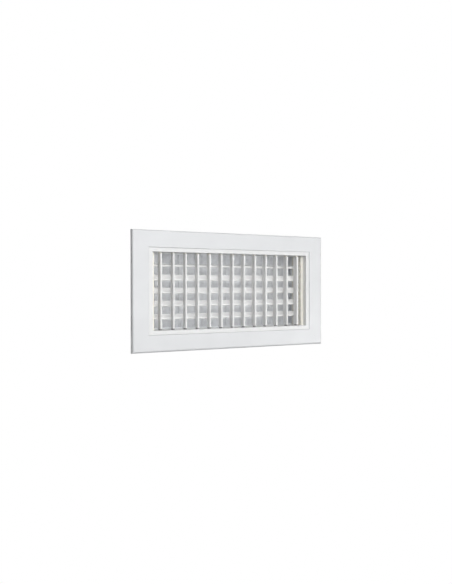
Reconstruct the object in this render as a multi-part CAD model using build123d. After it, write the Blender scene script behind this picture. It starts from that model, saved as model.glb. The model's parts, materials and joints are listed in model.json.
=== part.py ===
from build123d import *
from math import cos, pi, radians
import os

# A double deflection air grille with a removable core and an opposed blade damper.
# Millimetres, +X right, +Y into the wall, +Z up. The origin is the centre of the duct
# opening in the plane that the flange rests on, so the flange lies at negative Y.

# ---- driving dimensions --------------------------------------------------------------
OPENING_W = 269.0          # clear opening of the core frame
OPENING_H = 115.0
FACE_BORDER = 31.5         # from the clear opening to the outer edge of the flange
FACE_DEPTH = 7.0           # how far the flange stands off the wall
NECK_DEPTH = 38.0          # how far the neck reaches into the wall
SHEET = 1.6                # wall of both aluminium extrusions

FRONT_PITCH = 20.0         # upright blades
FRONT_COUNT = 13
REAR_PITCH = 19.5          # level blades behind them
REAR_TILTS = [18.0, 50.0, 48.0, 44.0, 40.0]     # degrees, rear edge up, top blade first

DAMPER_PITCH = 27.8        # opposed blades
DAMPER_COUNT = 10
DAMPER_DEPTH = 38.0

# ---- outer frame extrusion -----------------------------------------------------------
FLANGE_PLATE = 1.8         # thickness of the flange's face
FLANGE_ROUND = 3.0         # radius of its outer front edge
RETURN_LIP = 1.5           # thickness of the edge that is turned back to the wall
CORE_SEAT = 6.4            # from the clear opening to the inside of the neck
SEAT_BEVEL = 0.3           # bevel round the flange's inner edge

# ---- core frame extrusion ------------------------------------------------------------
LIP_SET_BACK = 0.7         # the core's lip lies this far behind the flange's face
LIP_PLATE = 1.5
LIP_GAP = 0.2              # between the core's lip and the neck
LIP_HOOK = 1.2             # thickness of the lip's turned-back edge
LIP_HOOK_DEPTH = 4.3
LIP_ROUND = 0.8
CORE_DEPTH = 36.0

# ---- blades --------------------------------------------------------------------------
CHORD = 12.0
NOSE_R = 1.7
TAIL_R = 0.6
NOSE_TO_PIVOT = 5.0
FRONT_SET_BACK = 3.0       # blade noses behind the core's lip
REAR_PIVOT_Y = 17.5
PIN_R = 0.9
PIN_IN_BLADE = 6.0
END_GAP = 2.2              # front blade end to the core's wall
REAR_END_GAP = 0.5         # rear blade end to its carrier, and pin end to bore end
RUN_GAP = 0.08             # radial clearance of a pin in its bearing

# ---- bearings ------------------------------------------------------------------------
BUSH_COLLAR_R = 2.5
BUSH_COLLAR = 1.9
BUSH_R = 2.0
BUSH_HOLE_R = 2.02
BUSH_TAIL = 1.5            # how far a bush stands out behind the wall
CARRIER_FRONT_Y = 1.7
CARRIER_REAR_Y = 28.0
CARRIER_T = 5.0            # how far a carrier stands into the opening
CARRIER_WALL = 1.4
CARRIER_END_GAP = 0.2
CARRIER_BOSS_R = 3.2
CARRIER_BORE = 4.2         # depth of a carrier's blind bearing hole
CARRIER_PEG_R = 2.0
CARRIER_PEG_Z = 48.0
CARRIER_PEG_Y = 23.0
WINDOW_HIGH = 4.6          # moulded windows along a carrier
WINDOW_DEEP = 2.2
WINDOW_Y = 5.9
WINDOW_PITCH = REAR_PITCH / 2

# ---- core springs, corner keys, gasket -----------------------------------------------
CLIP_X = 70.0
CLIP_W = 10.0
CLIP_T = 0.5
CLIP_GAP = 0.3             # crest of a spring to the neck
CLIP_FRONT_Y = 5.0
CLIP_CREST_Y = 20.0
CLIP_REAR_Y = 27.0
CLIP_RIVET_Y = 9.0
CLIP_FLAT_END = 3.9        # from the rivet to where the leaf starts to rise
CLIP_END_LIFT = 2.0        # free end of the leaf above the rail
RIVET_R = 1.6
RIVET_HEAD_R = 2.9
RIVET_HEAD = 0.9
KEY_LEG = 34.0             # corner keys of the outer frame
KEY_W = 12.0
KEY_T = 2.0
CORE_KEY_LEG = 18.0        # corner keys of the core
GASKET_W = 12.0

# ---- damper --------------------------------------------------------------------------
DAMPER_FIT = 0.3           # damper casing inside the neck
DAMPER_FRONT_Y = 30.3
CASE_T = 1.0
CASE_FLANGE = 8.0
CASE_TAB = 9.0             # tabs that join the casing's corners
PLATE_T = 1.0
END_PLATE_GAP = 0.7        # outermost blade edge to the casing
PLAIN_HALF_W = 13.3        # pivot to a plain edge
LAP_FOOT = 13.0            # pivot to the joggle of a lapped edge
LAP_TIP = 15.9             # pivot to the tip of a lapped edge
LAP_STEP = 1.35            # how far a lap lies behind the plate
TUBE_R = 2.3               # rolled spine of a damper blade
SHEET_END_GAP = 0.2        # blade end to the crank plates
COLLAR_GAP = 0.1           # spindle collar to the casing, and operator to its bracket
CRANK_R = 6.0              # pivot to crank pin
CRANK_PIN_R = 1.2
CRANK_BOSS_R = 2.2
CRANK_SHOULDER_R = 1.9
CRANK_PIN_SPARE = 0.6      # crank pin beyond the link bar
CRANK_START = 45.0         # degrees from +X with the damper closed
STUD_R = 1.5
CRANK_Z = 58.6             # underside of the crank plates
CRANK_T = 1.0
CRANK_STEP = 0.55          # shoulder that carries the link bar
BAR_Z = 60.2
BAR_T = 1.0
BAR_HALF_W = 9.0
BAR_END = 1.5              # link bar beyond its outermost slots
SLOT_GAP = 0.3             # play of a crank pin in the link bar
STUD_GAP = 0.5             # play of a spindle in the link bar
OPERATOR_X = -124.0
OPERATOR_Z = 49.5
OPERATOR_R = 3.4
OPERATOR_HEAD_R = 5.0
OPERATOR_HEAD = 3.0
OPERATOR_SLOT = 1.2        # screwdriver slot, width and depth
OPERATOR_PIN_SPARE = 0.4   # operator's pin beyond the driving tab
BRACKET_BELOW = 15.0       # bracket below and above the operator
BRACKET_ABOVE = 7.0
BRACKET_SIDE = 2.0         # bracket beside the operator's head
BRACKET_RIVET_EDGE = 4.2   # from the casing's outer face
BRACKET_RIVET_DROPS = (12.0, 2.0)
TAB_Y = 33.6               # front of the link bar's driving tab
TAB_HALF_W = 4.0

# ---- screws --------------------------------------------------------------------------
SMALL_RIVET_R = 1.2
SMALL_HEAD_R = 2.0
SMALL_HEAD = 0.8
DAMPER_SCREW_R = 1.75
DAMPER_SCREW_HEAD_R = 3.2
DAMPER_SCREW_HEAD = 1.3
DAMPER_SCREW_TIP = 1.5     # screw inside the casing
RECESS_HALF_W = 0.4        # cross recess
RECESS_HALF_L = 2.2
DAMPER_SCREW_Y = 34.4
DAMPER_SCREW_Z = 30.0
FIXING_HOLE_R = 2.25       # holes in the neck for the installer's screws
FIXING_Y = 18.0
FIXING_Z = 45.0

# ---- worked out ----------------------------------------------------------------------
HALF_W = OPENING_W / 2
HALF_H = OPENING_H / 2
MITRE = HALF_W - HALF_H    # where the mitre lines start on the X axis
LIP_Y = -FACE_DEPTH + LIP_SET_BACK
CORE_REAR_Y = LIP_Y + CORE_DEPTH
FRONT_PIVOT_Y = LIP_Y + FRONT_SET_BACK + NOSE_TO_PIVOT
FRONT_XS = [(i - (FRONT_COUNT - 1) / 2) * FRONT_PITCH for i in range(FRONT_COUNT)]
REAR_ZS = [((len(REAR_TILTS) - 1) / 2 - i) * REAR_PITCH for i in range(len(REAR_TILTS))]
BLADE_HALF_H = HALF_H - END_GAP
REAR_HALF_W = HALF_W - CARRIER_T - REAR_END_GAP
CASE_HALF_W = HALF_W + CORE_SEAT - DAMPER_FIT
CASE_HALF_H = HALF_H + CORE_SEAT - DAMPER_FIT
DAMPER_Y = DAMPER_FRONT_Y + DAMPER_DEPTH / 2
DAMPER_REAR_Y = DAMPER_FRONT_Y + DAMPER_DEPTH
CASE_SPARE = CASE_HALF_W - CASE_T - DAMPER_COUNT * DAMPER_PITCH / 2
DAMPER_XS = [(i - (DAMPER_COUNT - 1) / 2) * DAMPER_PITCH for i in range(DAMPER_COUNT)]
PIN_OFFSET = CRANK_R * cos(radians(CRANK_START))
BAR_STROKE = 2 * PIN_OFFSET
BORE_R = OPERATOR_R + RUN_GAP
CASE_RIVET_X = CASE_HALF_W - CASE_T - CASE_TAB / 2
CASE_RIVET_Y = DAMPER_REAR_Y - CASE_T - CASE_TAB / 2
BRACKET_RIVET_X = -CASE_HALF_W + BRACKET_RIVET_EDGE
BRACKET_RIVET_ZS = [OPERATOR_Z - drop for drop in BRACKET_RIVET_DROPS]
FAR = 400.0                # larger than anything in the model


def box(x0, x1, y0, y1, z0, z1):
    """A box from its limits."""
    size = (x1 - x0, y1 - y0, z1 - z0)
    return Pos((x0 + x1) / 2, (y0 + y1) / 2, (z0 + z1) / 2) * Box(*size)


def rod(start, end, radius):
    """A round bar from one point to another."""
    axis = Vector(*end) - Vector(*start)
    plane = Plane(origin=start, z_dir=axis)
    return extrude(plane * Circle(radius), axis.length)


def group(solids):
    """Separate solids as one node."""
    return Compound([s for item in solids for s in item.solids()])


def mirrored(shape, plane):
    """The shape's mirror image alone."""
    return mirror(shape, about=plane)


# ---- frame rails ---------------------------------------------------------------------
def flange_outline():
    """Section of the outer frame as (distance outward from the clear opening, depth)."""
    outer = FACE_BORDER
    back = -FACE_DEPTH + FLANGE_PLATE
    neck_out = CORE_SEAT + SHEET
    arc_mid = FLANGE_ROUND * (1 - cos(pi / 4))
    lines = [
        Line((CORE_SEAT + SEAT_BEVEL, -FACE_DEPTH), (outer - FLANGE_ROUND, -FACE_DEPTH)),
        ThreePointArc(
            (outer - FLANGE_ROUND, -FACE_DEPTH),
            (outer - arc_mid, -FACE_DEPTH + arc_mid),
            (outer, -FACE_DEPTH + FLANGE_ROUND),
        ),
        Polyline(
            (outer, -FACE_DEPTH + FLANGE_ROUND),
            (outer, 0),
            (outer - RETURN_LIP, 0),
            (outer - RETURN_LIP, back),
            (neck_out, back),
            (neck_out, NECK_DEPTH),
            (CORE_SEAT, NECK_DEPTH),
            (CORE_SEAT, -FACE_DEPTH + SEAT_BEVEL),
            (CORE_SEAT + SEAT_BEVEL, -FACE_DEPTH),
        ),
    ]
    return make_face(lines)


def core_outline():
    """Section of the core frame as (distance outward from the clear opening, depth)."""
    out = CORE_SEAT - LIP_GAP
    back = LIP_Y + LIP_PLATE
    arc_mid = LIP_ROUND * (1 - cos(pi / 4))
    lines = [
        ThreePointArc((0, LIP_Y + LIP_ROUND), (arc_mid, LIP_Y + arc_mid), (LIP_ROUND, LIP_Y)),
        Polyline(
            (LIP_ROUND, LIP_Y),
            (out - LIP_ROUND / 2, LIP_Y),
            (out, LIP_Y + LIP_ROUND / 2),
            (out, LIP_Y + LIP_HOOK_DEPTH),
            (out - LIP_HOOK, LIP_Y + LIP_HOOK_DEPTH),
            (out - LIP_HOOK, back),
            (SHEET, back),
            (SHEET, CORE_REAR_Y),
            (0, CORE_REAR_Y),
            (0, LIP_Y + LIP_ROUND),
        ),
    ]
    return make_face(lines)


def level_rail(outline):
    """The top rail of a mitred frame with this section."""
    section = Plane(origin=(0, 0, HALF_H), x_dir=(0, 0, 1), z_dir=(-1, 0, 0)) * outline
    bar = extrude(section, FAR, both=True)
    wedge = Polyline(
        (-MITRE, 0), (MITRE, 0), (MITRE + FAR, FAR), (-MITRE - FAR, FAR), close=True
    )
    return bar & extrude(Plane.XZ * make_face(wedge), FAR, both=True)


def side_rail(outline):
    """The right-hand rail of a mitred frame with this section."""
    section = Plane(origin=(HALF_W, 0, 0), x_dir=(1, 0, 0), z_dir=(0, 0, 1)) * outline
    bar = extrude(section, FAR, both=True)
    wedge = Polyline((MITRE, 0), (MITRE + FAR, FAR), (MITRE + FAR, -FAR), close=True)
    return bar & extrude(Plane.XZ * make_face(wedge), FAR, both=True)


def outer_rails():
    """The four flanged extrusions of the mounting frame."""
    top = level_rail(flange_outline())
    right = side_rail(flange_outline())
    x_in = HALF_W + CORE_SEAT - SHEET
    for z in (-1, 1):
        damper_hole = (x_in, DAMPER_SCREW_Y, z * DAMPER_SCREW_Z)
        fixing_hole = (x_in, FIXING_Y, z * FIXING_Z)
        right -= rod(damper_hole, (x_in + 3 * SHEET, *damper_hole[1:]), DAMPER_SCREW_R)
        right -= rod(fixing_hole, (x_in + 3 * SHEET, *fixing_hole[1:]), FIXING_HOLE_R)
    return {
        "flange_rail_top": top,
        "flange_rail_bottom": mirrored(top, Plane.XY),
        "flange_rail_right": right,
        "flange_rail_left": mirrored(right, Plane.YZ),
    }


def core_rails():
    """The four extrusions of the removable core, drilled for bushes, rivets and pegs."""
    top = level_rail(core_outline())
    below, above = HALF_H - SHEET, HALF_H + 2 * SHEET
    for x in FRONT_XS:
        top -= rod((x, FRONT_PIVOT_Y, below), (x, FRONT_PIVOT_Y, above), BUSH_HOLE_R)
    for x in (-CLIP_X, CLIP_X):
        top -= rod((x, CLIP_RIVET_Y, below), (x, CLIP_RIVET_Y, above), RIVET_R)
    right = side_rail(core_outline())
    for z in (-CARRIER_PEG_Z, CARRIER_PEG_Z):
        start = (HALF_W - SHEET, CARRIER_PEG_Y, z)
        right -= rod(start, (HALF_W + 2 * SHEET, CARRIER_PEG_Y, z), CARRIER_PEG_R)
    return {
        "core_rail_top": top,
        "core_rail_bottom": mirrored(top, Plane.XY),
        "core_rail_right": right,
        "core_rail_left": mirrored(right, Plane.YZ),
    }


# ---- corner keys and gasket ----------------------------------------------------------
def in_four_corners(key):
    """The upper right-hand piece and its three mirror images."""
    left = mirrored(key, Plane.YZ)
    return group([key, left, mirrored(key, Plane.XY), mirrored(left, Plane.XY)])


def flange_corner_keys():
    """Flat cleats behind the flange that hold its mitres together."""
    y0 = -FACE_DEPTH + FLANGE_PLATE
    middle = (CORE_SEAT + SHEET + FACE_BORDER - RETURN_LIP) / 2
    x1, z1 = HALF_W + middle + KEY_W / 2, HALF_H + middle + KEY_W / 2
    level = box(x1 - KEY_LEG, x1, y0, y0 + KEY_T, z1 - KEY_W, z1)
    upright = box(x1 - KEY_W, x1, y0, y0 + KEY_T, z1 - KEY_LEG, z1)
    return in_four_corners(level + upright)


def core_corner_keys():
    """Square keys in the groove behind the core's lip."""
    y0 = LIP_Y + LIP_PLATE
    y1 = LIP_Y + LIP_HOOK_DEPTH
    near, far = SHEET, CORE_SEAT - LIP_GAP - LIP_HOOK
    x1, z1 = HALF_W + far, HALF_H + far
    level = box(x1 - CORE_KEY_LEG, x1, y0, y1, HALF_H + near, z1)
    upright = box(HALF_W + near, x1, y0, y1, z1 - CORE_KEY_LEG, z1)
    return in_four_corners(level + upright)


def gasket():
    """Foam strips that the flange presses against the wall."""
    y0 = -FACE_DEPTH + FLANGE_PLATE + KEY_T
    middle = (CORE_SEAT + SHEET + FACE_BORDER - RETURN_LIP) / 2
    near, far = middle - GASKET_W / 2, middle + GASKET_W / 2
    top = box(-HALF_W - far, HALF_W + far, y0, 0, HALF_H + near, HALF_H + far)
    right = box(HALF_W + near, HALF_W + far, y0, 0, -HALF_H - near, HALF_H + near)
    return group([top, mirrored(top, Plane.XY), right, mirrored(right, Plane.YZ)])


# ---- blades --------------------------------------------------------------------------
def blade_outline():
    """Teardrop section about the pivot, nose towards -Y, in the XY plane."""
    nose = CenterArc((0, NOSE_R - NOSE_TO_PIVOT), NOSE_R, 0, 360)
    tail = CenterArc((0, CHORD - NOSE_TO_PIVOT - TAIL_R), TAIL_R, 0, 360)
    return make_hull([nose, tail])


def blade(half_length, pin_reach):
    """An upright blade about the Z axis with a pin pressed into each end."""
    body = extrude(blade_outline(), half_length, both=True)
    pins = []
    for end in (-1, 1):
        start = (0, 0, end * (half_length - PIN_IN_BLADE))
        pin = rod(start, (0, 0, end * (half_length + pin_reach)), PIN_R)
        body -= pin
        pins.append(pin)
    return group([body, *pins])


def front_blades():
    """The upright blades, one node each, from left to right."""
    reach = END_GAP + SHEET + BUSH_TAIL / 2
    one = blade(BLADE_HALF_H, reach)
    return {
        f"front_blade_{i + 1:02d}": Pos(x, FRONT_PIVOT_Y, 0) * one
        for i, x in enumerate(FRONT_XS)
    }


def rear_blades():
    """The level blades, one node each, from the top down, as they are set."""
    reach = CARRIER_BORE - REAR_END_GAP
    level = Rot(0, 90, 0) * blade(REAR_HALF_W, reach)
    return {
        f"rear_blade_{i + 1}": Pos(0, REAR_PIVOT_Y, z) * Rot(tilt, 0, 0) * level
        for i, (z, tilt) in enumerate(zip(REAR_ZS, REAR_TILTS))
    }


# ---- bearings ------------------------------------------------------------------------
def bushes_top():
    """Collared bushes in the top rail for the upright blades."""
    made = []
    for x in FRONT_XS:
        foot = (x, FRONT_PIVOT_Y, HALF_H - BUSH_COLLAR)
        wall = (x, FRONT_PIVOT_Y, HALF_H)
        tail = (x, FRONT_PIVOT_Y, HALF_H + SHEET + BUSH_TAIL)
        bush = rod(foot, wall, BUSH_COLLAR_R) + rod(wall, tail, BUSH_R)
        made.append(bush - rod(foot, tail, PIN_R + RUN_GAP))
    return group(made)


def carrier_right():
    """Moulded strip that carries the right-hand ends of the level blades."""
    x0, x1 = HALF_W - CARRIER_T, HALF_W
    half = HALF_H - CARRIER_END_GAP
    strip = box(x0, x1, CARRIER_FRONT_Y, CARRIER_REAR_Y, -half, half)
    strip -= box(
        x0 + CARRIER_WALL,
        x1,
        CARRIER_FRONT_Y + CARRIER_WALL,
        CARRIER_REAR_Y - CARRIER_WALL,
        -half + CARRIER_WALL,
        half - CARRIER_WALL,
    )
    high, deep = WINDOW_HIGH, WINDOW_DEEP
    windows = int(2 * (half - CARRIER_WALL) / WINDOW_PITCH)
    for i in range(windows):
        z = (i - (windows - 1) / 2) * WINDOW_PITCH
        y0, z0 = WINDOW_Y - deep / 2, z - high / 2
        strip -= box(x0, x0 + CARRIER_WALL, y0, y0 + deep, z0, z0 + high)
    for z in REAR_ZS:
        start = (x0, REAR_PIVOT_Y, z)
        strip += rod(start, (x1, REAR_PIVOT_Y, z), CARRIER_BOSS_R)
        strip -= rod(start, (x0 + CARRIER_BORE, REAR_PIVOT_Y, z), PIN_R + RUN_GAP)
    for z in (-CARRIER_PEG_Z, CARRIER_PEG_Z):
        start = (x0 + CARRIER_WALL, CARRIER_PEG_Y, z)
        strip += rod(start, (x1 + SHEET + CARRIER_WALL, CARRIER_PEG_Y, z), CARRIER_PEG_R)
    return strip


# ---- core springs --------------------------------------------------------------------
def clip_top():
    """Leaf spring outside the top rail, which grips the neck."""
    base = HALF_H + SHEET
    crest = HALF_H + CORE_SEAT - CLIP_T - CLIP_GAP
    bend = (CLIP_RIVET_Y + CLIP_FLAT_END, base)
    top, end = (CLIP_CREST_Y, crest), (CLIP_REAR_Y, base + CLIP_END_LIFT)
    low = Spline(bend, top, end, tangents=[(1, 0), (1, -0.6)])
    high = Pos(0, CLIP_T) * low
    flat = Polyline(bend, (CLIP_FRONT_Y, base), (CLIP_FRONT_Y, base + CLIP_T), high @ 0)
    outline = make_face([low, Line(low @ 1, high @ 1), high, flat])
    section = Plane(origin=(0, 0, 0), x_dir=(0, 1, 0), z_dir=(1, 0, 0)) * outline
    leaf = Pos(CLIP_X, 0, 0) * extrude(section, CLIP_W / 2, both=True)
    return leaf - rod((CLIP_X, CLIP_RIVET_Y, base), (CLIP_X, CLIP_RIVET_Y, crest), RIVET_R)


def clip_rivet_top():
    """Rivet through the top rail and its leaf spring, flush inside the core."""
    x, y = CLIP_X, CLIP_RIVET_Y
    top = HALF_H + SHEET + CLIP_T
    shank = rod((x, y, HALF_H), (x, y, top), RIVET_R)
    return shank + rod((x, y, top), (x, y, top + RIVET_HEAD), RIVET_HEAD_R)


# ---- damper casing -------------------------------------------------------------------
def case_top():
    """Channel across the top of the damper, with the holes its spindles turn in."""
    top, inner = CASE_HALF_H, CASE_HALF_H - CASE_T
    web = box(-CASE_HALF_W, CASE_HALF_W, DAMPER_FRONT_Y, DAMPER_REAR_Y, inner, top)
    for y in (DAMPER_FRONT_Y, DAMPER_REAR_Y - CASE_T):
        web += box(-CASE_HALF_W, CASE_HALF_W, y, y + CASE_T, top - CASE_FLANGE, inner)
    for x in DAMPER_XS:
        web -= rod((x, DAMPER_Y, inner), (x, DAMPER_Y, top), STUD_R + RUN_GAP)
    for x in (-CASE_RIVET_X, CASE_RIVET_X):
        web -= rod((x, CASE_RIVET_Y, inner), (x, CASE_RIVET_Y, top), SMALL_RIVET_R)
    return web


def case_right():
    """Channel down the right-hand side of the damper, tabbed to the top and bottom."""
    out, inner = CASE_HALF_W, CASE_HALF_W - CASE_T
    reach, flange_z = CASE_HALF_H - CASE_T, CASE_HALF_H - CASE_FLANGE
    web = box(inner, out, DAMPER_FRONT_Y + CASE_T, DAMPER_REAR_Y - CASE_T, -reach, reach)
    for y in (DAMPER_FRONT_Y, DAMPER_REAR_Y - CASE_T):
        web += box(out - CASE_FLANGE, out, y, y + CASE_T, -flange_z, flange_z)
    y1 = DAMPER_REAR_Y - CASE_T
    for z0 in (-reach, reach - CASE_T):
        web += box(inner - CASE_TAB, inner, y1 - CASE_TAB, y1, z0, z0 + CASE_T)
        hole = (CASE_RIVET_X, CASE_RIVET_Y, z0)
        web -= rod(hole, (*hole[:2], z0 + CASE_T), SMALL_RIVET_R)
    for z in (-DAMPER_SCREW_Z, DAMPER_SCREW_Z):
        web -= rod((inner, DAMPER_SCREW_Y, z), (out, DAMPER_SCREW_Y, z), DAMPER_SCREW_R)
    return web


def small_rivet(tip, head):
    """Rivet whose shank runs from the tip to the foot of its head."""
    axis = (Vector(*head) - Vector(*tip)).normalized()
    end = Vector(*head) + axis * SMALL_HEAD
    return rod(tip, head, SMALL_RIVET_R) + rod(head, tuple(end), SMALL_HEAD_R)


def case_rivets():
    """Rivets of the casing's four corners, with their heads inside."""
    foot = CASE_HALF_H - 2 * CASE_T
    x, y = CASE_RIVET_X, CASE_RIVET_Y
    return in_four_corners(small_rivet((x, y, CASE_HALF_H), (x, y, foot)))


def damper_screws():
    """Screws from the neck into the damper casing."""
    inner = CASE_HALF_W - CASE_T
    out = HALF_W + CORE_SEAT + SHEET
    y, z = DAMPER_SCREW_Y, DAMPER_SCREW_Z
    head = rod((out, y, z), (out + DAMPER_SCREW_HEAD, y, z), DAMPER_SCREW_HEAD_R)
    floor, face = out + DAMPER_SCREW_HEAD / 2, out + DAMPER_SCREW_HEAD
    for half_y, half_z in ((RECESS_HALF_W, RECESS_HALF_L), (RECESS_HALF_L, RECESS_HALF_W)):
        head -= box(floor, face, y - half_y, y + half_y, z - half_z, z + half_z)
    return in_four_corners(
        head + rod((inner - DAMPER_SCREW_TIP, y, z), (out, y, z), DAMPER_SCREW_R)
    )


# ---- damper blades and their drive ---------------------------------------------------
def lapped_edge():
    """Section of the right-hand wing of a blade that laps behind its neighbour."""
    t, step = PLATE_T / 2, LAP_STEP
    outline = Polyline(
        (0, -t), (LAP_FOOT + 2 * t, -t), (LAP_FOOT + 2 * t, step - t), (LAP_TIP, step - t),
        (LAP_TIP, step + t), (LAP_FOOT, step + t), (LAP_FOOT, t), (0, t), close=True
    )
    return make_face(outline)


def plain_edge(reach):
    """Section of the right-hand wing of a blade with a plain edge."""
    return Pos(reach / 2, 0) * Rectangle(reach, PLATE_T)


def damper_sheet(index):
    """Section of one damper blade: every other blade laps its neighbours on both sides."""
    wing = lapped_edge() if index % 2 == 0 else plain_edge(PLAIN_HALF_W)
    end_wing = plain_edge(DAMPER_PITCH / 2 + CASE_SPARE - END_PLATE_GAP)
    right = end_wing if index == DAMPER_COUNT - 1 else wing
    left = end_wing if index == 0 else wing
    return right + Rot(0, 0, 180) * left + Circle(TUBE_R) - Circle(STUD_R)


def damper_spindle(side):
    """Spindle with its crank on the +Y side (1) or the -Y side (-1)."""
    spindle = rod((0, 0, -CASE_HALF_H), (0, 0, CASE_HALF_H), STUD_R)
    spindle += rod((0, 0, -CASE_HALF_H + CASE_T + COLLAR_GAP), (0, 0, -CRANK_Z), 2 * STUD_R)
    pin = (PIN_OFFSET, side * PIN_OFFSET)
    arm = make_hull([*Circle(2 * STUD_R).edges(), *(Pos(*pin) * Circle(CRANK_BOSS_R)).edges()])
    step = CRANK_Z + CRANK_T
    spindle += Pos(0, 0, CRANK_Z) * extrude(arm, CRANK_T)
    spindle += rod((*pin, step), (*pin, step + CRANK_STEP), CRANK_SHOULDER_R)
    return spindle + rod((*pin, step), (*pin, BAR_Z + BAR_T + CRANK_PIN_SPARE), CRANK_PIN_R)


def damper_blades():
    """The opposed blades from left to right, with cranks on alternate sides."""
    half = CRANK_Z - SHEET_END_GAP
    made = {}
    for i, x in enumerate(DAMPER_XS):
        sheet = extrude(damper_sheet(i), half, both=True)
        spindle = damper_spindle(1 - 2 * (i % 2))
        made[f"damper_blade_{i + 1:02d}"] = Pos(x, DAMPER_Y, 0) * group([sheet, spindle])
    return made


def link_bar():
    """Flat bar that slides along X and swings every crank, with a tab for the operator."""
    margin = STUD_R + STUD_GAP
    left = DAMPER_XS[0] - margin - BAR_END
    right = DAMPER_XS[-1] + BAR_STROKE + margin + BAR_END
    y0, y1 = DAMPER_Y - BAR_HALF_W, DAMPER_Y + BAR_HALF_W
    bar = box(left, right, y0, y1, BAR_Z, BAR_Z + BAR_T)
    half_slot = CRANK_PIN_R + SLOT_GAP
    for i, x in enumerate(DAMPER_XS):
        spindle_slot = (x - margin, x + BAR_STROKE + margin, DAMPER_Y - margin, DAMPER_Y + margin)
        bar -= box(*spindle_slot, BAR_Z, BAR_Z + BAR_T)
        near, far = PIN_OFFSET - half_slot, CRANK_R + half_slot
        ys = (near, far) if i % 2 == 0 else (-far, -near)
        xs = (x + PIN_OFFSET - half_slot, x + PIN_OFFSET + half_slot)
        bar -= box(*xs, DAMPER_Y + ys[0], DAMPER_Y + ys[1], BAR_Z, BAR_Z + BAR_T)
    middle = OPERATOR_X + PIN_OFFSET
    x0, x1 = middle - TAB_HALF_W, middle + TAB_HALF_W
    bar += box(x0, x1, TAB_Y, y0, BAR_Z, BAR_Z + BAR_T)
    bar += box(x0, x1, TAB_Y, TAB_Y + BAR_T, OPERATOR_Z, BAR_Z + BAR_T)
    low, high = OPERATOR_Z + PIN_OFFSET - half_slot, OPERATOR_Z + CRANK_R + half_slot
    return bar - box(middle - half_slot, middle + half_slot, TAB_Y, TAB_Y + BAR_T, low, high)


def operator_bracket():
    """Plate behind the casing's left flange that the operator turns in."""
    y0 = DAMPER_FRONT_Y + CASE_T
    left, right = -CASE_HALF_W + CASE_T + COLLAR_GAP, OPERATOR_X + OPERATOR_HEAD_R + BRACKET_SIDE
    low, high = OPERATOR_Z - BRACKET_BELOW, OPERATOR_Z + BRACKET_ABOVE
    plate = box(left, right, y0, y0 + CASE_T, low, high)
    plate -= rod((OPERATOR_X, y0, OPERATOR_Z), (OPERATOR_X, y0 + CASE_T, OPERATOR_Z), BORE_R)
    for z in BRACKET_RIVET_ZS:
        start = (BRACKET_RIVET_X, y0, z)
        plate -= rod(start, (BRACKET_RIVET_X, y0 + CASE_T, z), SMALL_RIVET_R)
    return plate


def bracket_rivets():
    """Rivets that hold the operator's bracket to the casing flange, with their heads behind it."""
    x, rear = BRACKET_RIVET_X, DAMPER_FRONT_Y + 2 * CASE_T
    return group([small_rivet((x, DAMPER_FRONT_Y, z), (x, rear, z)) for z in BRACKET_RIVET_ZS])


def operator():
    """Screwdriver-slotted spindle with a crank pin behind the bracket."""
    x, z = OPERATOR_X, OPERATOR_Z
    face = DAMPER_FRONT_Y + CASE_T - COLLAR_GAP
    front = face - OPERATOR_HEAD
    crank = DAMPER_FRONT_Y + 2 * CASE_T + COLLAR_GAP
    plate = crank + CRANK_T
    r, half = OPERATOR_HEAD_R, OPERATOR_SLOT / 2
    body = rod((x, front, z), (x, face, z), r)
    body -= box(x - r, x + r, front, front + OPERATOR_SLOT, z - half, z + half)
    body += rod((x, face, z), (x, plate, z), OPERATOR_R)
    pin = (x + PIN_OFFSET, z + PIN_OFFSET)
    body += rod((pin[0], crank, pin[1]), (pin[0], plate, pin[1]), CRANK_BOSS_R)
    arm = make_hull(
        [*(Pos(x, z) * Circle(OPERATOR_R)).edges(), *(Pos(*pin) * Circle(CRANK_BOSS_R)).edges()]
    )
    flat = Plane(origin=(0, plate, 0), x_dir=(1, 0, 0), z_dir=(0, -1, 0)) * arm
    body += extrude(flat, CRANK_T)
    tip = (pin[0], TAB_Y + BAR_T + OPERATOR_PIN_SPARE, pin[1])
    return body + rod((pin[0], plate, pin[1]), tip, CRANK_PIN_R)


# ---- the whole grille ----------------------------------------------------------------
def all_nodes():
    """Every piece of the grille by its node name."""
    bushes = bushes_top()
    carrier = carrier_right()
    spring = clip_top()
    spring_rivet = clip_rivet_top()
    top_case = case_top()
    right_case = case_right()
    left_case = mirrored(right_case, Plane.YZ)
    for z in BRACKET_RIVET_ZS:
        start = (BRACKET_RIVET_X, DAMPER_FRONT_Y, z)
        left_case -= rod(start, (BRACKET_RIVET_X, DAMPER_FRONT_Y + CASE_T, z), SMALL_RIVET_R)
    return {
        **outer_rails(),
        **core_rails(),
        "flange_corner_keys": flange_corner_keys(),
        "core_corner_keys": core_corner_keys(),
        "wall_gasket": gasket(),
        **front_blades(),
        **rear_blades(),
        "front_bushes_top": bushes,
        "front_bushes_bottom": mirrored(bushes, Plane.XY),
        "rear_carrier_right": carrier,
        "rear_carrier_left": mirrored(carrier, Plane.YZ),
        "core_springs": in_four_corners(spring),
        "core_spring_rivets": in_four_corners(spring_rivet),
        "damper_case_top": top_case,
        "damper_case_bottom": mirrored(top_case, Plane.XY),
        "damper_case_right": right_case,
        "damper_case_left": left_case,
        "damper_case_rivets": case_rivets(),
        **damper_blades(),
        "damper_link_bar": link_bar(),
        "damper_operator": operator(),
        "damper_operator_bracket": operator_bracket(),
        "damper_bracket_rivets": bracket_rivets(),
        "damper_screws": damper_screws(),
    }


os.makedirs("parts", exist_ok=True)
for name, shape in all_nodes().items():
    export_step(shape, f"parts/{name}.step")
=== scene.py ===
import json
from math import cos, radians, sin

import bpy
from mathutils import Matrix, Vector


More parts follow.
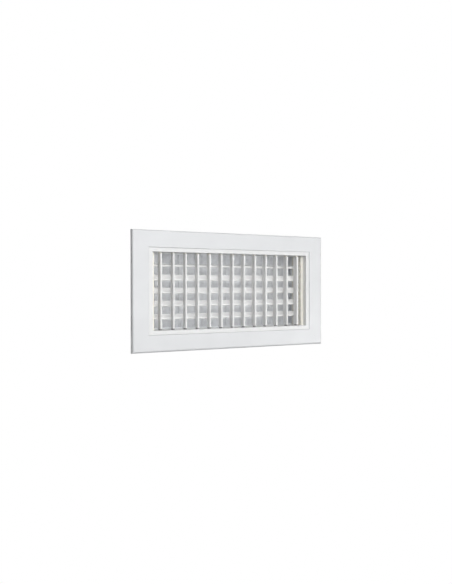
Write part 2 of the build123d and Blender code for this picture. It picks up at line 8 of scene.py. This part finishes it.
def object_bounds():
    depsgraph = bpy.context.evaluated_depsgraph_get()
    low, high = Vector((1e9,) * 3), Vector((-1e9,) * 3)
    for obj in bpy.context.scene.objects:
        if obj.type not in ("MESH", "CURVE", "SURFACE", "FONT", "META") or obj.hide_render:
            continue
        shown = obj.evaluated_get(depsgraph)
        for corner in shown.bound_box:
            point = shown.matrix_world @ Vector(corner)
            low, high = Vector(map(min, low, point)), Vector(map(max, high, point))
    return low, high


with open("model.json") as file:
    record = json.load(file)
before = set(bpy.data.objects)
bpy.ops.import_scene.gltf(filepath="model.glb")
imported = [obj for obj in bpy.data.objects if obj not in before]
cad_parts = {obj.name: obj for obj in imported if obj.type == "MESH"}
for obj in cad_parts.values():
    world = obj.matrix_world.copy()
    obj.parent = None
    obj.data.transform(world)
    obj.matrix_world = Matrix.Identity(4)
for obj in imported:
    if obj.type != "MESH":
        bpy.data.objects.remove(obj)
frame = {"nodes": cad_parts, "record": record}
CAD_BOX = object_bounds()
NODES = frame["nodes"]
SLOT_OF = {part["node"]: part["material_slot"] for part in frame["record"]["subparts"]}
MM = 0.001                                   # the scene is in metres

# ---- camera: the grille seen from its left, almost level with its middle --------------
FACE = Vector((0.0, CAD_BOX[0][1], 0.0))     # middle of the flange's front face
CAMERA_YAW = 27.73                           # degrees to the grille's left
CAMERA_PITCH = 0.38
CAMERA_ROLL = 0.08
CAMERA_AWAY = 937.2 * MM                     # along the line of sight, to the face
CAMERA_SIDE = 13.5 * MM                      # the face's middle is this far right of centre
CAMERA_DROP = 4.6 * MM                       # and this far below it
LENS = 37.29                                 # focal length and sensor width in mm, as Blender has them
SENSOR = 36.0
CLIP_START = 10 * MM

# ---- lights, all aimed at the face: name, azimuth and elevation in degrees, size, watts -
LIGHT_AWAY = 1.6
LIGHTS = [
    ("left", -14.0, 18.0, 0.8, 14.6),
    ("left high", -15.0, 45.0, 0.8, 2.7),
    ("right high", 20.0, 40.0, 0.7, 2.8),
    ("front low", 10.0, -10.0, 0.8, 7.3),
    ("right low", 50.0, -20.0, 0.8, 23.0),
    ("behind", 180.0, -4.0, 1.6, 22.0),
    ("behind right", 150.0, -8.0, 1.2, 9.0),
    ("behind high", 180.0, 55.0, 1.5, 5.0),
]
AMBIENT = 0.01                               # strength of the white surroundings as light
FLOOR_GLOW = 0.12                            # strength of the floor as light
FLOOR_DROP = 0.30                            # the floor's depth below the grille
FLOOR_SIZE = 12.0


def aim_camera():
    """Camera on the left of the grille, as the numbers above place it."""
    yaw, pitch, roll = (radians(a) for a in (CAMERA_YAW, CAMERA_PITCH, CAMERA_ROLL))
    ahead = Vector((sin(yaw), cos(yaw), 0.0))
    right = Vector((cos(yaw), -sin(yaw), 0.0))
    up = Vector((0.0, 0.0, 1.0))
    place = FACE - ahead * CAMERA_AWAY - right * CAMERA_SIDE + up * CAMERA_DROP
    look = ahead * cos(pitch) - up * sin(pitch)
    top = up * cos(pitch) + ahead * sin(pitch)
    axis_x = right * cos(roll) - top * sin(roll)
    axis_y = top * cos(roll) + right * sin(roll)
    camera = bpy.data.objects.new("camera", bpy.data.cameras.new("camera"))
    camera.data.lens = LENS
    camera.data.sensor_width = SENSOR
    camera.data.clip_start = CLIP_START
    turn = Matrix((axis_x, axis_y, -look)).transposed().to_4x4()
    camera.matrix_world = Matrix.Translation(place) @ turn
    bpy.context.scene.collection.objects.link(camera)
    bpy.context.scene.camera = camera


def add_lights():
    """Soft square lights round the grille."""
    for name, azimuth, elevation, size, power in LIGHTS:
        a, e = radians(azimuth), radians(elevation)
        way = Vector((sin(a) * cos(e), -cos(a) * cos(e), sin(e)))
        data = bpy.data.lights.new(name, "AREA")
        data.shape = "SQUARE"
        data.size = size
        data.energy = power
        light = bpy.data.objects.new(name, data)
        light.location = FACE + way * LIGHT_AWAY
        light.rotation_euler = way.to_track_quat("Z", "Y").to_euler()
        bpy.context.scene.collection.objects.link(light)


def mix_by_camera_ray(tree, kind, strength, out):
    """White to the camera, and of this strength to every other ray."""
    seen = tree.nodes.new(kind)
    lit = tree.nodes.new(kind)
    mix = tree.nodes.new("ShaderNodeMixShader")
    path = tree.nodes.new("ShaderNodeLightPath")
    seen.inputs["Strength"].default_value = 1.0
    lit.inputs["Strength"].default_value = strength
    for shader in (seen, lit):
        shader.inputs["Color"].default_value = (1.0, 1.0, 1.0, 1.0)
    tree.links.new(path.outputs["Is Camera Ray"], mix.inputs["Fac"])
    tree.links.new(lit.outputs[0], mix.inputs[1])
    tree.links.new(seen.outputs[0], mix.inputs[2])
    tree.links.new(mix.outputs[0], out.inputs["Surface"])


def add_world():
    """White surroundings; they light the grille less than they show."""
    world = bpy.data.worlds.new("studio")
    bpy.context.scene.world = world
    world.use_nodes = True
    tree = world.node_tree
    tree.nodes.clear()
    out = tree.nodes.new("ShaderNodeOutputWorld")
    mix_by_camera_ray(tree, "ShaderNodeBackground", AMBIENT, out)


def add_floor():
    """Plain pale floor well below the grille, which hangs in the air as on a wall.

    It looks as white as the surroundings and lights the grille by FLOOR_GLOW alone.
    """
    low = CAD_BOX[0][2] - FLOOR_DROP
    half = FLOOR_SIZE / 2
    mesh = bpy.data.meshes.new("floor")
    corners = [(-half, -half, low), (half, -half, low), (half, half, low), (-half, half, low)]
    mesh.from_pydata(corners, [], [(0, 1, 2, 3)])
    floor = bpy.data.objects.new("floor", mesh)
    bpy.context.scene.collection.objects.link(floor)
    material = bpy.data.materials.new("floor_paper")
    material.use_nodes = True
    tree = material.node_tree
    tree.nodes.clear()
    out = tree.nodes.new("ShaderNodeOutputMaterial")
    mix_by_camera_ray(tree, "ShaderNodeEmission", FLOOR_GLOW, out)
    mesh.materials.append(material)


# ---- materials -----------------------------------------------------------------------
def shade(colour, share):
    """The colour made darker or lighter by this factor."""
    return tuple(min(1.0, c * share) for c in colour)


class Nodes:
    """Short calls for building one material's node tree."""

    def __init__(self, name):
        self.material = bpy.data.materials.new(name)
        self.material.use_nodes = True
        self.tree = self.material.node_tree
        self.shader = self.tree.nodes["Principled BSDF"]
        self.place = self.tree.nodes.new("ShaderNodeTexCoord").outputs["Object"]
        self.normal = None

    def link(self, start, end):
        self.tree.links.new(start, end)

    def set(self, key, value):
        """One uniform value of the shader."""
        self.shader.inputs[key].default_value = value

    def noise(self, size, detail=2.0):
        """Noise whose lumps are about this many metres across."""
        node = self.tree.nodes.new("ShaderNodeTexNoise")
        node.inputs["Scale"].default_value = 1.0 / size
        node.inputs["Detail"].default_value = detail
        self.link(self.place, node.inputs["Vector"])
        return node.outputs["Fac"]

    def cells(self, size, output):
        """One output of Voronoi cells about this many metres across."""
        node = self.tree.nodes.new("ShaderNodeTexVoronoi")
        node.inputs["Scale"].default_value = 1.0 / size
        self.link(self.place, node.inputs["Vector"])
        return node.outputs[output]

    def stretch(self, axis, share):
        """Draws out the textures made after this call along one axis (0, 1 or 2)."""
        node = self.tree.nodes.new("ShaderNodeMapping")
        node.inputs["Scale"].default_value[axis] = share
        self.link(self.place, node.inputs["Vector"])
        self.place = node.outputs["Vector"]

    def colour(self, value, stops):
        """Base colour along the value, as (place, colour) stops."""
        node = self.tree.nodes.new("ShaderNodeValToRGB")
        elements = node.color_ramp.elements
        while len(elements) < len(stops):
            elements.new(0.5)
        for element, (place, colour) in zip(elements, stops):
            element.position = place
            element.color = (*colour, 1.0)
        self.link(value, node.inputs["Fac"])
        self.link(node.outputs["Color"], self.shader.inputs["Base Color"])

    def roughness(self, value, low, high):
        """Roughness that goes from low to high as the value goes from 0 to 1."""
        node = self.tree.nodes.new("ShaderNodeMapRange")
        node.inputs["To Min"].default_value = low
        node.inputs["To Max"].default_value = high
        self.link(value, node.inputs["Value"])
        self.link(node.outputs["Result"], self.shader.inputs["Roughness"])

    def relief(self, value, height):
        """Bump this many metres high, on top of the one made before it."""
        node = self.tree.nodes.new("ShaderNodeBump")
        node.inputs["Distance"].default_value = height
        self.link(value, node.inputs["Height"])
        if self.normal is not None:
            self.link(self.normal, node.inputs["Normal"])
        self.normal = node.outputs["Normal"]
        self.link(self.normal, self.shader.inputs["Normal"])


def powder_coat(name, colour, rough):
    """Satin powder coat: orange peel, a fine grain and slightly uneven tone."""
    m = Nodes(name)
    m.colour(m.noise(size=35 * MM, detail=4.0), [(0.3, shade(colour, 0.965)), (0.7, colour)])
    m.roughness(m.noise(size=6 * MM), low=rough - 0.05, high=rough + 0.06)
    m.relief(m.noise(size=1.3 * MM, detail=1.0), height=0.020 * MM)      # orange peel
    m.relief(m.noise(size=0.25 * MM, detail=1.0), height=0.003 * MM)     # grain
    return m.material


def moulded_nylon(name, colour):
    """Slightly translucent plastic with a fine spark-eroded grain."""
    m = Nodes(name)
    m.colour(m.noise(size=9 * MM, detail=3.0), [(0.35, shade(colour, 0.93)), (0.65, colour)])
    m.roughness(m.noise(size=2 * MM), low=0.42, high=0.58)
    m.relief(m.noise(size=0.35 * MM), height=0.012 * MM)
    m.set("Subsurface Weight", 0.15)
    m.set("Subsurface Radius", (1.0 * MM, 0.8 * MM, 0.6 * MM))
    m.set("Subsurface Scale", 1.0)
    return m.material


def galvanised(name, colour):
    """Zinc coated sheet: crystal spangle of slightly different greys, faint rolling."""
    m = Nodes(name)
    m.set("Metallic", 0.1)
    crystal = m.tree.nodes.new("ShaderNodeSeparateColor")                # two random values per crystal
    m.link(m.cells(size=5 * MM, output="Color"), crystal.inputs["Color"])
    stops = [(0.0, shade(colour, 0.93)), (0.5, colour), (1.0, shade(colour, 1.04))]
    m.colour(crystal.outputs["Red"], stops)
    m.roughness(crystal.outputs["Green"], low=0.36, high=0.52)
    m.relief(m.noise(size=0.8 * MM, detail=3.0), height=0.006 * MM)
    return m.material


def drawn_metal(name, colour, rough, axis):
    """Bare metal with fine drawn lines along the given axis (0, 1 or 2)."""
    m = Nodes(name)
    m.set("Metallic", 1.0)
    m.stretch(axis, share=0.04)
    lines = m.noise(size=0.4 * MM, detail=3.0)
    m.colour(lines, [(0.3, shade(colour, 0.88)), (0.7, colour)])
    m.roughness(lines, low=rough - 0.07, high=rough + 0.09)
    m.relief(lines, height=0.004 * MM)
    return m.material


def closed_foam(name, colour):
    """Closed-cell foam: dull, with small open cells on its cut faces."""
    m = Nodes(name)
    pits = m.cells(size=0.9 * MM, output="Distance")
    m.colour(pits, [(0.0, colour), (0.7, shade(colour, 1.9))])
    m.set("Roughness", 0.92)
    m.relief(pits, height=0.25 * MM)
    return m.material


def make_materials():
    """One material for each of the record's slots."""
    return {
        "frame_white": powder_coat("frame_white", (0.768, 0.779, 0.792), rough=0.36),
        "core_white": powder_coat("core_white", (0.82, 0.825, 0.825), rough=0.34),
        "blade_white": powder_coat("blade_white", (0.89, 0.89, 0.885), rough=0.34),
        "nylon": moulded_nylon("nylon", (0.84, 0.82, 0.75)),
        # bottom pivot bushes, dark grey unlike the white nylon top ones: partly their own colour,
        # partly painted shade at the blades' feet
        "bush_dark": moulded_nylon("bush_dark", (0.30, 0.30, 0.30)),
        "foam": closed_foam("foam", (0.045, 0.045, 0.048)),
        "mill_aluminium": drawn_metal("mill_aluminium", (0.78, 0.79, 0.80), rough=0.34, axis=0),
        "galvanised": galvanised("galvanised", (0.87, 0.885, 0.905)),
        "spring_steel": drawn_metal("spring_steel", (0.46, 0.47, 0.49), rough=0.30, axis=1),
        "zinc": drawn_metal("zinc", (0.68, 0.69, 0.71), rough=0.30, axis=2),
    }


# ---- small radii on every CAD edge ----------------------------------------------------
EDGE_RADIUS = {
    "frame_white": 0.05 * MM,
    "core_white": 0.06 * MM,
    "bush_dark": 0.12 * MM,
    "blade_white": 0.12 * MM,
    "nylon": 0.15 * MM,
    "foam": 0.4 * MM,
    "mill_aluminium": 0.15 * MM,
    "galvanised": 0.12 * MM,
    "spring_steel": 0.08 * MM,
    "zinc": 0.12 * MM,
}
EDGE_ANGLE = 40                              # edges that turn by more degrees than this are rounded
EDGE_SEGMENTS = 2
WELD_REACH = 0.002 * MM


def dress(node, material, radius):
    """Gives a CAD node its material and a soft edge."""
    node.data.materials.clear()
    node.data.materials.append(material)
    weld = node.modifiers.new("weld", "WELD")
    weld.merge_threshold = WELD_REACH
    bevel = node.modifiers.new("edges", "BEVEL")
    bevel.width = radius
    bevel.segments = EDGE_SEGMENTS
    bevel.limit_method = "ANGLE"
    bevel.angle_limit = radians(EDGE_ANGLE)
    normals = node.modifiers.new("normals", "WEIGHTED_NORMAL")
    normals.keep_sharp = True


materials = make_materials()
for name, node in NODES.items():
    slot = SLOT_OF[name]
    dress(node, materials[slot], EDGE_RADIUS[slot])

aim_camera()
add_lights()
add_world()
add_floor()
bpy.context.scene.view_settings.view_transform = "Standard"
